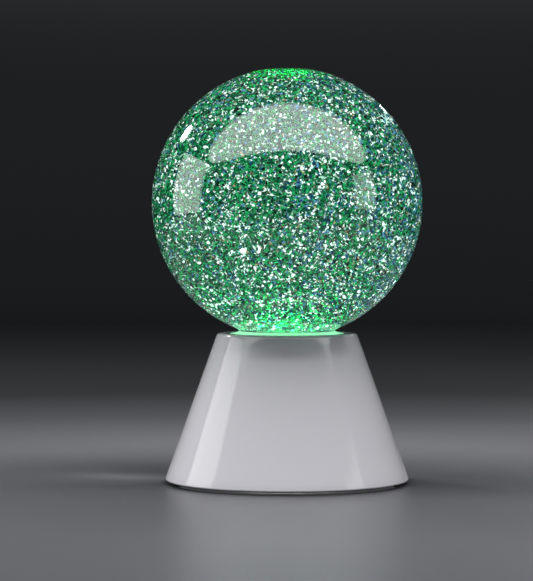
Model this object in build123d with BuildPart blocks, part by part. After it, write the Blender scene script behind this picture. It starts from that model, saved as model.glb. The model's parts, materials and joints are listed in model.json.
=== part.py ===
from build123d import *

import os
from math import atan, cos, degrees, hypot, radians, sin, sqrt, tan

# Glitter globe lamp: a liquid-filled glass ball with a magnetic stirrer, on a conical base.
# Millimetres, +Z up. The origin is the centre of the footprint, on the surface the lamp stands
# on. The front faces -Y; the power socket and the switch are at the back.

CENTER, LOW, HIGH = Align.CENTER, Align.MIN, Align.MAX
UPRIGHT = (CENTER, CENTER, LOW)  # stands on its placing point
HANGING = (CENTER, CENTER, HIGH)  # hangs from its placing point

# ---------------------------------------------------------------- driving dimensions
# Glass ball and its neck
globe_diameter = 125.0
globe_wall = 2.5
neck_diameter = 44.0
neck_wall = 2.5
neck_rise = 1.5  # from the top of the base up to where the neck meets the ball
neck_depth = 9.0  # from the top of the base down to the lip
lip_width = 2.5
lip_thickness = 3.0
neck_blend = 1.5
air_gap = 1.15  # height of the air pocket under the top of the ball
liquid_gap = 0.05

# Conical base
base_diameter = 113.0
housing_height = 67.8
housing_wall = 2.2
deck_thickness = 2.5
light_ring_width = 4.5  # between the neck and the opening in the deck
rim_width = 5.75  # flat white rim round the opening
rim_round = 2.0
shoulder_gap = 0.3  # between the light ring and the screw posts
plate_thickness = 2.6
plate_drop = 0.9  # underside of the base plate below the edge of the cone
plate_gap = 0.6
foot_standoff = 0.6
foot_diameter = 10.0
foot_depth = 0.8  # how deep a foot sits in the plate
foot_seat_gap = 0.1
plate_screw_sink = 1.3  # depth of the sunk seats for the screw heads
foot_count = 4

# Seal and stirrer
gasket_thickness = 1.0
flange_thickness = 2.5
plug_gap = 0.15
plug_wall = 3.35
plug_rise = 7.0
seal_section = 1.4
seal_squeeze_room = 0.05
pin_diameter = 2.5
pin_length = 19.4
running_gap = 0.05
impeller_gap = 1.5
impeller_thickness = 4.5
impeller_hub_diameter = 6.0
impeller_lift = 0.8
washer_thickness = 0.6
paddle_count = 4
paddle_height = 8.7
paddle_thickness = 1.6
magnet_thickness = 3.0
magnet_edge = 1.25
liquid_pocket_gap = 1.1

# Clamp that holds the ball down
clamp_thickness = 2.0
clamp_wall = 2.5
clamp_gap = 0.4
post_diameter = 5.6
post_count = 3
post_gap = 0.6  # between the clamp ring and the screw posts
ear_width = 7.4

# Drive
drive_gap = 1.5  # air between the drive disc and the underside of the plug
drive_thickness = 4.5
drive_hub_diameter = 8.0
drive_hub_length = 4.0
motor_diameter = 24.4
motor_length = 12.3
motor_wall = 0.8
motor_cap_thickness = 1.5
motor_boss_diameter = 6.0
motor_boss_height = 1.2
bush_diameter = 4.4
bush_length = 3.0
motor_screw_circle = 8.0
shaft_diameter = 2.0
shaft_gap = 0.03
armature_diameter = 18.0
field_magnet_wall = 1.8
bracket_thickness = 2.0
bracket_hub_gap = 8.0  # bracket disc beyond the motor
bracket_arm_width = 12.0
standoff_height = 4.5
standoff_diameter = 5.0

# Lights
light_board_thickness = 1.6
light_board_width = 10.2
light_board_gap = 2.0  # round the drive disc
light_count = 6
light_side = 5.0
light_height = 1.6

# Power
cell_diameter = 14.5
cell_length = 49.5
cell_nub_diameter = 5.5
cell_nub_height = 1.0
cell_count = 3
cell_spacing = 0.5
spring_room = 6.6
contact_thickness = 0.4
well_wall = 1.5
well_side_gap = 0.75
well_roof = 1.6
well_shift = -7.0  # the battery bay sits forward of the centre
door_thickness = 1.6
door_gap = 0.3
door_lift = 0.2
door_ledge = 2.0
door_corner = 2.0
hinge_ledge = 4.0
hinge_radius = 0.9
hinge_pin_radius = 0.6
hinge_pin_length = 2.2
hinge_gap = 0.3
cell_lift = 0.3

# Control board, switch and socket
board_length = 30.0
board_width = 24.0
board_thickness = 1.6
board_standoff = 4.2
switch_travel = 3.0
socket_width = 9.0
socket_height = 3.2
socket_length = 9.3
socket_shell = 0.35
socket_inset = 0.8  # face of the socket inside the outer surface
socket_gap = 0.6
socket_overhang = 6.1  # past the edge of the control board
board_post_inset = 3.0

# Fasteners and leads
screw_diameter = 2.5
screw_head_diameter = 4.8
screw_head_height = 1.8
small_screw_diameter = 2.0
small_screw_head_diameter = 3.8
small_screw_head_height = 1.3
pilot_gap = 0.05
boss_diameter = 6.4
boss_inset = 9.0  # from the inner face of the cone to the middle of a boss
pilot_depth = 8.0
boss_angle = 58.0
lead_diameter = 1.2

# ---------------------------------------------------------------- heights and radii
globe_radius = globe_diameter / 2
cavity_radius = globe_radius - globe_wall
neck_radius = neck_diameter / 2
bore_radius = neck_radius - neck_wall
lip_radius = neck_radius + lip_width

plate_bottom = foot_standoff
plate_top = plate_bottom + plate_thickness
housing_bottom = plate_bottom + plate_drop
deck_top = housing_bottom + housing_height
deck_under = deck_top - deck_thickness
globe_centre = deck_top + neck_rise + sqrt(globe_radius**2 - neck_radius**2)

base_radius = base_diameter / 2
opening_radius = neck_radius + light_ring_width
top_radius = opening_radius + rim_width
cone_slope = (base_radius - top_radius) / housing_height
wall_across = housing_wall / cos(atan(cone_slope))


def outer_radius(z):
    """Radius of the outside of the cone at height z."""
    return base_radius - (z - housing_bottom) * cone_slope


def inner_radius(z):
    """Radius of the inside of the cone at height z."""
    return outer_radius(z) - wall_across


lip_top = deck_top - neck_depth
lip_bottom = lip_top - lip_thickness
flange_top = lip_bottom - gasket_thickness
flange_bottom = flange_top - flange_thickness
plug_radius = bore_radius - plug_gap
cup_radius = plug_radius - plug_wall
plug_top = flange_top + plug_rise

impeller_radius = cup_radius - impeller_gap
impeller_bottom = flange_top + impeller_lift
impeller_top = impeller_bottom + impeller_thickness
hub_radius = impeller_hub_diameter / 2
hub_top = impeller_top + paddle_height + 1.0
pin_bottom = flange_top - flange_thickness * 0.7
pin_top = pin_bottom + pin_length
pin_radius = pin_diameter / 2
magnet_radius = (impeller_radius - hub_radius) / 2 - magnet_edge
magnet_circle = (impeller_radius + hub_radius) / 2
pocket_radius = cup_radius - 0.4
pocket_top = pin_top + liquid_pocket_gap
liquid_top = globe_centre + cavity_radius - air_gap

drive_top = flange_bottom - drive_gap
drive_bottom = drive_top - drive_thickness
drive_radius = impeller_radius
clamp_top = flange_bottom
clamp_bottom = clamp_top - clamp_thickness
clamp_bore = lip_radius - 2.0
clamp_radius = lip_radius + clamp_gap + clamp_wall
post_radius = post_diameter / 2
clamp_post_circle = clamp_radius + post_radius + post_gap
shoulder_radius = clamp_post_circle - post_radius - shoulder_gap

lights_top = clamp_bottom - 1.3
light_board_top = lights_top - light_height
light_board_bottom = light_board_top - light_board_thickness
light_board_bore = drive_radius + light_board_gap
light_board_radius = light_board_bore + light_board_width
light_circle = light_board_bore + light_side * 0.7
light_screw_circle = light_board_radius - small_screw_head_diameter / 2 - 0.8
bracket_top = light_board_bottom - standoff_height
bracket_bottom = bracket_top - bracket_thickness
bracket_post_circle = clamp_post_circle + 1.0
bracket_reach = bracket_post_circle + post_radius + 0.8
bracket_hub_radius = motor_diameter / 2 + bracket_hub_gap
motor_radius = motor_diameter / 2
motor_top = bracket_bottom
motor_bottom = motor_top - motor_length
shaft_radius = shaft_diameter / 2
bush_bore = shaft_radius + shaft_gap
bush_radius = bush_diameter / 2

door_top = plate_bottom + door_thickness
ledge_bottom = door_top + door_lift
well_length = cell_length + cell_nub_height + spring_room + 2 * contact_thickness
well_width = cell_count * cell_diameter + (cell_count - 1) * cell_spacing + 2 * well_side_gap
cell_bottom = door_top + cell_lift
cell_axis = cell_bottom + cell_diameter / 2
well_ceiling = cell_bottom + cell_diameter + 0.3
well_top = well_ceiling + well_roof
well_front = well_shift - well_width / 2
well_back = well_shift + well_width / 2
cell_pitch = cell_diameter + cell_spacing
cell_rows = [well_shift + (i - (cell_count - 1) / 2) * cell_pitch for i in range(cell_count)]
nub_ends = [(-1) ** i for i in range(cell_count)]  # +1: the nub points to +X
door_front = well_front - hinge_ledge + door_gap
door_back = well_back + door_ledge - door_gap

board_bottom = plate_top + board_standoff
board_top = board_bottom + board_thickness
socket_middle = board_top + socket_height / 2
socket_back = outer_radius(socket_middle) - socket_inset
board_back = socket_back - socket_overhang
board_front = board_back - board_width
board_middle = (board_front + board_back) / 2
boss_circle = inner_radius(plate_top) - boss_inset
boss_radius = boss_diameter / 2
foot_circle = inner_radius(plate_top) - foot_diameter / 2 - 2.3


# ---------------------------------------------------------------- helpers
def pan_screw(diameter, head_diameter, head_height, length):
    """A cross-head screw that points up, with the underside of its head at the origin."""
    recess = head_height * 0.5
    with BuildPart() as screw:
        Cylinder(head_diameter / 2, head_height, align=HANGING)
        fillet(screw.edges().group_by(Axis.Z)[0], head_height * 0.4)
        Cylinder(diameter / 2, length, align=UPRIGHT)
        with BuildSketch(Plane.XY.offset(-head_height)):
            Rectangle(head_diameter * 0.55, head_diameter * 0.14)
            Rectangle(head_diameter * 0.14, head_diameter * 0.55)
        extrude(amount=recess, mode=Mode.SUBTRACT)
    return screw.part


def polar_points(radius, count, start, z):
    """Points evenly spaced on a level circle, from the angle start in degrees."""
    angles = [radians(start + i * 360 / count) for i in range(count)]
    return [(radius * cos(a), radius * sin(a), z) for a in angles]


def corner_points(circle, angle, z):
    """Four points placed symmetrically about both axes."""
    x, y = circle * cos(radians(angle)), circle * sin(radians(angle))
    return [(sx * x, sy * y, z) for sx in (-1, 1) for sy in (-1, 1)]


def lead(points, diameter):
    """A round wire along straight runs, with each corner as wide as its runs allow."""
    places = [Vector(*p) for p in points]
    radii = []
    for before, here, after in zip(places, places[1:], places[2:]):
        turn = radians((here - before).get_angle(after - here))
        shorter = min((here - before).length, (after - here).length)
        radii.append(0.45 * shorter / tan(turn / 2))
    with BuildPart() as wire:
        with BuildLine() as path:
            FilletPolyline(*places, radius=radii)
        with BuildSketch(Plane(origin=places[0], z_dir=places[1] - places[0])):
            Circle(diameter / 2)
        sweep(path=path.line)
    return wire.part


# ---------------------------------------------------------------- glass ball
outer_join = deck_top + neck_rise
inner_join = globe_centre - sqrt(cavity_radius**2 - bore_radius**2)

with BuildPart() as globe_shell:
    with BuildSketch(Plane.XZ):
        with BuildLine():
            ThreePointArc(
                (0, globe_centre + globe_radius),
                (globe_radius, globe_centre),
                (neck_radius, outer_join),
            )
            Polyline(
                (neck_radius, outer_join),
                (neck_radius, lip_top),
                (lip_radius, lip_top),
                (lip_radius, lip_bottom),
                (bore_radius, lip_bottom),
                (bore_radius, inner_join),
            )
            ThreePointArc(
                (bore_radius, inner_join),
                (cavity_radius, globe_centre),
                (0, globe_centre + cavity_radius),
            )
            Line((0, globe_centre + cavity_radius), (0, globe_centre + globe_radius))
        make_face()
    revolve(axis=Axis.Z)
    joins = globe_shell.edges().filter_by(GeomType.CIRCLE)
    fillet([e for e in joins if abs(e.center().Z - outer_join) < 0.01], neck_blend)
    inner_joins = globe_shell.edges().filter_by(GeomType.CIRCLE)
    fillet([e for e in inner_joins if abs(e.center().Z - inner_join) < 0.01], neck_blend)

# The liquid leaves an air pocket at the top and a clear round space for the stirrer.
liquid_radius = cavity_radius - liquid_gap
liquid_neck = bore_radius - neck_blend * 0.4
liquid_join = globe_centre - sqrt(liquid_radius**2 - liquid_neck**2)
liquid_bottom = plug_top + 0.2
level_radius = sqrt(liquid_radius**2 - (liquid_top - globe_centre) ** 2)

with BuildPart() as liquid_fill:
    with BuildSketch(Plane.XZ):
        with BuildLine():
            Line((0, liquid_top), (level_radius, liquid_top))
            ThreePointArc(
                (level_radius, liquid_top),
                (liquid_radius, globe_centre),
                (liquid_neck, liquid_join),
            )
            Polyline(
                (liquid_neck, liquid_join),
                (liquid_neck, liquid_bottom),
                (pocket_radius, liquid_bottom),
                (pocket_radius, pocket_top),
                (0, pocket_top),
                (0, liquid_top),
            )
        make_face()
    revolve(axis=Axis.Z)

# ---------------------------------------------------------------- plug, seals and pin
seal_radius = seal_section / 2
groove_height = plug_top - plug_rise * 0.45
groove_bottom = bore_radius - seal_section - seal_squeeze_room
bung_radius = 1.5
bung_circle = cup_radius - bung_radius - 0.6

with BuildPart() as globe_plug:
    with Locations((0, 0, flange_bottom)):
        Cylinder(lip_radius, flange_thickness, align=UPRIGHT)
    with Locations((0, 0, flange_top)):
        Cylinder(plug_radius, plug_rise, align=UPRIGHT)
        Cylinder(cup_radius, plug_rise, align=UPRIGHT, mode=Mode.SUBTRACT)
    with BuildSketch(Plane.XY.offset(groove_height - seal_radius - 0.1)):
        Circle(plug_radius + 1)
        Circle(groove_bottom, mode=Mode.SUBTRACT)
    extrude(amount=seal_section + 0.2, mode=Mode.SUBTRACT)
    with Locations((0, 0, pin_bottom)):
        Cylinder(pin_radius, flange_thickness, align=UPRIGHT, mode=Mode.SUBTRACT)
    with Locations((0, bung_circle, flange_bottom)):
        Cylinder(bung_radius, flange_thickness, align=UPRIGHT, mode=Mode.SUBTRACT)

with BuildPart() as plug_seal:
    with Locations((0, 0, groove_height)):
        Torus(groove_bottom + 0.02 + seal_radius, seal_radius)

with BuildPart() as lip_gasket:
    with BuildSketch(Plane.XY.offset(flange_top)):
        Circle(lip_radius)
        Circle(bore_radius, mode=Mode.SUBTRACT)
    extrude(amount=gasket_thickness)

with BuildPart() as fill_bung:
    with Locations((0, bung_circle, flange_bottom)):
        Cylinder(bung_radius, flange_thickness, align=UPRIGHT)

with BuildPart() as pivot_pin:
    with Locations((0, 0, pin_bottom)):
        Cylinder(pin_radius, pin_length, align=UPRIGHT)
    chamfer(pivot_pin.edges().group_by(Axis.Z)[-1], 0.4)

with BuildPart() as thrust_washer:
    with BuildSketch(Plane.XY.offset(flange_top)):
        Circle(hub_radius)
        Circle(pin_radius, mode=Mode.SUBTRACT)
    extrude(amount=washer_thickness)

with BuildPart() as pin_retainer:
    with BuildSketch(Plane.XY.offset(hub_top + 0.3)):
        Circle(hub_radius + 0.4)
        Circle(pin_radius, mode=Mode.SUBTRACT)
    extrude(amount=0.7)
    fillet(pin_retainer.edges().group_by(Axis.Z)[-1].sort_by(SortBy.RADIUS)[-1], 0.3)

# ---------------------------------------------------------------- stirrer
magnet_places = polar_points(magnet_circle, 2, 0, impeller_bottom)

with BuildPart() as impeller:
    with Locations((0, 0, impeller_bottom)):
        Cylinder(impeller_radius, impeller_thickness, align=UPRIGHT)
        Cylinder(hub_radius, hub_top - impeller_bottom, align=UPRIGHT)
    with BuildSketch(Plane.XY.offset(impeller_top)):
        with PolarLocations(0, paddle_count):
            Rectangle(impeller_radius - 1, paddle_thickness, align=(LOW, CENTER))
    extrude(amount=paddle_height)
    tips = impeller.edges().filter_by(Axis.Z).filter_by(
        lambda e: hypot(e.center().X, e.center().Y) > impeller_radius - 2
    )
    fillet(tips, paddle_thickness * 0.45)
    with Locations((0, 0, impeller_bottom)):
        bore_length = hub_top - impeller_bottom
        Cylinder(pin_radius + running_gap, bore_length, align=UPRIGHT, mode=Mode.SUBTRACT)
    with Locations(*magnet_places):
        Cylinder(magnet_radius, magnet_thickness, align=UPRIGHT, mode=Mode.SUBTRACT)

with BuildPart() as impeller_magnets:
    with Locations(*magnet_places):
        Cylinder(magnet_radius, magnet_thickness, align=UPRIGHT)

# ---------------------------------------------------------------- conical housing
clamp_posts = polar_points(clamp_post_circle, post_count, 30, 0)
bracket_posts = polar_points(bracket_post_circle, post_count, 90, 0)
plate_bosses = corner_points(boss_circle, boss_angle, plate_top)
rim_fillet = min(rim_round, rim_width * 0.6)
small_pilot = small_screw_diameter / 2 + pilot_gap
pilot_radius = screw_diameter / 2 + pilot_gap

with BuildPart() as solid_cone:
    with BuildSketch(Plane.XZ):
        Polygon(
            (0, housing_bottom),
            (base_radius, housing_bottom),
            (top_radius, deck_top),
            (0, deck_top),
            align=None,
        )
    revolve(axis=Axis.Z)
    fillet(solid_cone.edges().filter_by(GeomType.CIRCLE).group_by(Axis.Z)[-1], rim_fillet)
    fillet(solid_cone.edges().filter_by(GeomType.CIRCLE).group_by(Axis.Z)[0], 0.7)

with BuildPart() as base_housing:
    with BuildSketch(Plane.XZ):
        Polygon(
            (opening_radius, deck_top),
            (top_radius, deck_top),
            (base_radius, housing_bottom),
            (inner_radius(housing_bottom), housing_bottom),
            (inner_radius(deck_under), deck_under),
            (opening_radius, deck_under),
            align=None,
        )
    revolve(axis=Axis.Z)
    for places, post_bottom in (
        (clamp_posts, clamp_top + 0.5),
        (bracket_posts, bracket_top),
    ):
        with BuildSketch(Plane.XY.offset(post_bottom)):
            with Locations(*[(x, y) for x, y, _ in places]):
                Circle(post_radius)
        extrude(amount=deck_under - post_bottom)
    with BuildSketch(Plane.XY.offset(plate_top)):
        with Locations(*[(x, y) for x, y, _ in plate_bosses]):
            Circle(boss_radius)
    extrude(amount=(boss_radius + boss_inset) / cone_slope)
    add(solid_cone.part, mode=Mode.INTERSECT)
    fillet(
        base_housing.edges()
        .filter_by(GeomType.CIRCLE)
        .filter_by(lambda e: abs(e.radius - opening_radius) < 0.01)
        .sort_by(Axis.Z)[-1],
        0.6,
    )
    for places, post_bottom, hole_radius in (
        (clamp_posts, clamp_top + 0.5, pilot_radius),
        (bracket_posts, bracket_top, pilot_radius),
        (plate_bosses, plate_top, pilot_radius),
    ):
        with Locations(*[(x, y, post_bottom) for x, y, _ in places]):
            Cylinder(hole_radius, pilot_depth, align=UPRIGHT, mode=Mode.SUBTRACT)
    with BuildSketch(Plane.XZ.offset(-board_back)):
        with Locations((0, socket_middle)):
            hole_height = socket_height + 2 * socket_gap
            RectangleRounded(socket_width + 2 * socket_gap, hole_height, hole_height / 2 - 0.1)
    extrude(amount=-base_radius, mode=Mode.SUBTRACT)

# ---------------------------------------------------------------- light ring
ring_rise = 0.9
with BuildPart() as light_ring:
    with BuildSketch(Plane.XZ):
        Polygon(
            (neck_radius + 0.25, lip_top),
            (lip_radius, lip_top),
            (lip_radius + 1.0, deck_under - deck_thickness),
            (shoulder_radius, deck_under - deck_thickness),
            (shoulder_radius, deck_under),
            (opening_radius - 0.3, deck_under),
            (opening_radius - 0.3, deck_top - 0.3),
            (neck_radius + 1.6, deck_top + ring_rise * 0.45),
            (neck_radius + 0.25, deck_top + ring_rise),
            align=None,
        )
    revolve(axis=Axis.Z)

# ---------------------------------------------------------------- clamp ring
with BuildPart() as globe_clamp:
    with BuildSketch(Plane.XY.offset(clamp_bottom)):
        Circle(clamp_radius)
        with PolarLocations(0, post_count, start_angle=30):
            Rectangle(clamp_post_circle, ear_width, align=(LOW, CENTER))
        with Locations(*[(x, y) for x, y, _ in clamp_posts]):
            Circle(ear_width / 2)
        Circle(clamp_bore, mode=Mode.SUBTRACT)
    extrude(amount=clamp_thickness)
    with BuildSketch(Plane.XY.offset(clamp_top)):
        Circle(clamp_radius)
        Circle(lip_radius + clamp_gap, mode=Mode.SUBTRACT)
    extrude(amount=lip_top - 1.0 - clamp_top)
    with BuildSketch(Plane.XY.offset(clamp_top)):
        with Locations(*[(x, y) for x, y, _ in clamp_posts]):
            Circle(post_radius)
    extrude(amount=0.5)
    with BuildSketch(Plane.XY.offset(clamp_bottom)):
        with Locations(*[(x, y) for x, y, _ in clamp_posts]):
            Circle(pilot_radius)
    extrude(amount=clamp_thickness + 0.5, mode=Mode.SUBTRACT)

base_screw = pan_screw(screw_diameter, screw_head_diameter, screw_head_height, 7.0)
with BuildPart() as clamp_screws:
    with Locations(*[(x, y, clamp_bottom) for x, y, _ in clamp_posts]):
        add(base_screw)

# ---------------------------------------------------------------- motor bracket
board_standoffs = polar_points(light_screw_circle, post_count, 90, bracket_top)
motor_screw_places = polar_points(motor_screw_circle, 2, 0, bracket_top)

with BuildPart() as motor_bracket:
    with BuildSketch(Plane.XY.offset(bracket_bottom)) as bracket_outline:
        Circle(bracket_hub_radius)
        with PolarLocations(0, post_count, start_angle=90):
            Rectangle(bracket_reach, bracket_arm_width, align=(LOW, CENTER))
        corners = bracket_outline.vertices()
        fillet(corners.filter_by(lambda v: hypot(v.X, v.Y) > bracket_post_circle), 3.0)
    extrude(amount=bracket_thickness)
    with Locations(*board_standoffs):
        Cylinder(standoff_diameter / 2, standoff_height, align=UPRIGHT)
    with Locations(*board_standoffs):
        Cylinder(small_pilot, standoff_height, align=UPRIGHT, mode=Mode.SUBTRACT)
    with BuildSketch(Plane.XY.offset(bracket_bottom)):
        Circle(motor_boss_diameter / 2 + 0.2)
        with Locations(*[(x, y) for x, y, _ in motor_screw_places]):
            Circle(small_pilot)
        with Locations(*[(x, y) for x, y, _ in bracket_posts]):
            Circle(pilot_radius)
    extrude(amount=bracket_thickness, mode=Mode.SUBTRACT)

with BuildPart() as bracket_screws:
    with Locations(*[(x, y, bracket_bottom) for x, y, _ in bracket_posts]):
        add(base_screw)

small_screw = pan_screw(
    small_screw_diameter, small_screw_head_diameter, small_screw_head_height, 3.0
)
with BuildPart() as motor_screws:
    with Locations(*motor_screw_places):
        add(small_screw, rotation=(180, 0, 0))

# ---------------------------------------------------------------- motor
can_inner = motor_radius - motor_wall
cap_top = motor_bottom + motor_cap_thickness
front_bush_bottom = motor_top - bush_length + motor_boss_height
rear_bush_top = motor_bottom + bush_length

with BuildPart() as motor_can:
    with Locations((0, 0, motor_bottom)):
        Cylinder(motor_radius, motor_length, align=UPRIGHT)
        fillet(motor_can.edges().group_by(Axis.Z)[-1], 0.8)
        Cylinder(can_inner, motor_length - 1.0, align=UPRIGHT, mode=Mode.SUBTRACT)
    with Locations((0, 0, front_bush_bottom)):
        Cylinder(motor_boss_diameter / 2, bush_length, align=UPRIGHT)
        Cylinder(bush_radius, bush_length, align=UPRIGHT, mode=Mode.SUBTRACT)
    with Locations(*[(x, y, motor_top) for x, y, _ in motor_screw_places]):
        Cylinder(small_pilot, 1.0, align=HANGING, mode=Mode.SUBTRACT)

with BuildPart() as motor_end_cap:
    with Locations((0, 0, motor_bottom)):
        Cylinder(can_inner, motor_cap_thickness, align=UPRIGHT)
        Cylinder(bush_radius + 0.5, bush_length, align=UPRIGHT)
        Cylinder(bush_radius, bush_length, align=UPRIGHT, mode=Mode.SUBTRACT)

with BuildPart() as motor_bushes:
    for bush_bottom in (motor_bottom, front_bush_bottom):
        with BuildSketch(Plane.XY.offset(bush_bottom)):
            Circle(bush_radius)
            Circle(bush_bore, mode=Mode.SUBTRACT)
        extrude(amount=bush_length)

with BuildPart() as field_magnet:
    with BuildSketch(Plane.XY.offset(cap_top + 1.0)):
        Circle(can_inner)
        Circle(can_inner - field_magnet_wall, mode=Mode.SUBTRACT)
    extrude(amount=motor_length - motor_cap_thickness - 3.0)

terminal_x = 5.0
terminal_y = 7.0
with BuildPart() as motor_terminals:
    with Locations(*[(s * terminal_x, terminal_y, motor_bottom) for s in (-1, 1)]):
        Box(2.0, 0.4, 3.0, align=(CENTER, CENTER, HIGH))

armature_bottom = rear_bush_top + 0.5
commutator_height = 1.8
core_bottom = armature_bottom + commutator_height
armature_radius = armature_diameter / 2
core_height = front_bush_bottom - core_bottom - 0.6

with BuildPart() as armature_core:
    with BuildSketch(Plane.XY.offset(core_bottom)):
        Circle(armature_radius)
        Circle(armature_radius - 1.4, mode=Mode.SUBTRACT)
        with PolarLocations(armature_radius, 3, start_angle=60):
            Rectangle(4.0, 2.4, mode=Mode.SUBTRACT)
        Circle(3.0)
        with PolarLocations(0, 3):
            Rectangle(armature_radius - 0.7, 2.6, align=(LOW, CENTER))
        Circle(shaft_radius, mode=Mode.SUBTRACT)
    extrude(amount=core_height)

with BuildPart() as armature_windings:
    with BuildSketch(Plane.XY.offset(core_bottom - 0.3)):
        with PolarLocations(3.0 + 0.6, 3):
            RectangleRounded(3.6, 5.4, 1.2, align=(LOW, CENTER))
    extrude(amount=core_height + 0.6)
    with BuildSketch(Plane.XY.offset(core_bottom)):
        with PolarLocations(0, 3):
            Rectangle(armature_radius, 2.6, align=(LOW, CENTER))
    extrude(amount=core_height, mode=Mode.SUBTRACT)

commutator_radius = bush_radius + 0.7
brush_thickness = 0.3
brush_gap = 0.05
with BuildPart() as commutator:
    with BuildSketch(Plane.XY.offset(armature_bottom)):
        Circle(commutator_radius)
        Circle(shaft_radius, mode=Mode.SUBTRACT)
        with PolarLocations(commutator_radius, 3, start_angle=60):
            Rectangle(0.8, 0.3, mode=Mode.SUBTRACT)
    extrude(amount=commutator_height)

brush_x = commutator_radius + brush_gap + brush_thickness / 2
with BuildPart() as motor_brushes:
    with Locations(*[(s * brush_x, 0, cap_top) for s in (-1, 1)]):
        Box(brush_thickness, 8.0, armature_bottom + 1.1 - cap_top, align=UPRIGHT)

with BuildPart() as motor_shaft:
    with Locations((0, 0, motor_bottom + 0.3)):
        Cylinder(shaft_radius, drive_top - 1.5 - motor_bottom - 0.3, align=UPRIGHT)
    chamfer(motor_shaft.edges().group_by(Axis.Z)[-1], 0.3)

# ---------------------------------------------------------------- drive disc
drive_magnet_bottom = drive_top - magnet_thickness
drive_magnet_places = polar_points(magnet_circle, 2, 0, drive_magnet_bottom)

with BuildPart() as drive_disc:
    with Locations((0, 0, drive_bottom)):
        Cylinder(drive_radius, drive_thickness, align=UPRIGHT)
        Cylinder(drive_hub_diameter / 2, drive_hub_length, align=HANGING)
    fillet(drive_disc.faces().sort_by(Axis.Z)[-1].edges(), 0.4)
    with Locations((0, 0, drive_top)):
        Cylinder(shaft_radius, drive_thickness + drive_hub_length, align=HANGING, mode=Mode.SUBTRACT)
    with Locations(*drive_magnet_places):
        Cylinder(magnet_radius, magnet_thickness, align=UPRIGHT, mode=Mode.SUBTRACT)

with BuildPart() as drive_magnets:
    with Locations(*drive_magnet_places):
        Cylinder(magnet_radius, magnet_thickness, align=UPRIGHT)

# ---------------------------------------------------------------- lights
light_screw_places = polar_points(light_screw_circle, post_count, 90, light_board_top)

with BuildPart() as light_board:
    with BuildSketch(Plane.XY.offset(light_board_bottom)):
        Circle(light_board_radius)
        Circle(light_board_bore, mode=Mode.SUBTRACT)
        with Locations(*[(x, y) for x, y, _ in light_screw_places]):
            Circle(small_pilot, mode=Mode.SUBTRACT)
    extrude(amount=light_board_thickness)

with BuildPart() as light_chips:
    with BuildSketch(Plane.XY.offset(light_board_top)):
        with PolarLocations(light_circle, light_count):
            Rectangle(light_side, light_side)
    extrude(amount=light_height)
    with BuildSketch(Plane.XY.offset(lights_top)):
        with PolarLocations(light_circle, light_count):
            Circle(light_side * 0.38)
    extrude(amount=-0.3, mode=Mode.SUBTRACT)

long_small_screw = pan_screw(
    small_screw_diameter, small_screw_head_diameter, small_screw_head_height, 4.5
)
with BuildPart() as light_board_screws:
    with Locations(*light_screw_places):
        add(long_small_screw, rotation=(180, 0, 0))

# ---------------------------------------------------------------- base plate and battery bay
recess_front = door_front - door_gap
recess_back = door_back + door_gap
recess_length = well_length + 2 * door_ledge
recess_middle = (recess_front + recess_back) / 2
door_length = recess_length - 2 * door_gap
hinge_y = door_front + hinge_radius
hinge_z = plate_bottom + hinge_radius
tongue_width = 12.0
tongue_reach = 3.7
latch_rise = 3.2
latch_nose = 0.5
switch_middle = board_middle
knob_length = 3.0
knob_width = 2.0
board_posts = [
    (side * (board_length / 2 - board_post_inset), edge, plate_top)
    for side in (-1, 1)
    for edge in (board_back - board_post_inset, board_front + board_post_inset)
]

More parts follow.
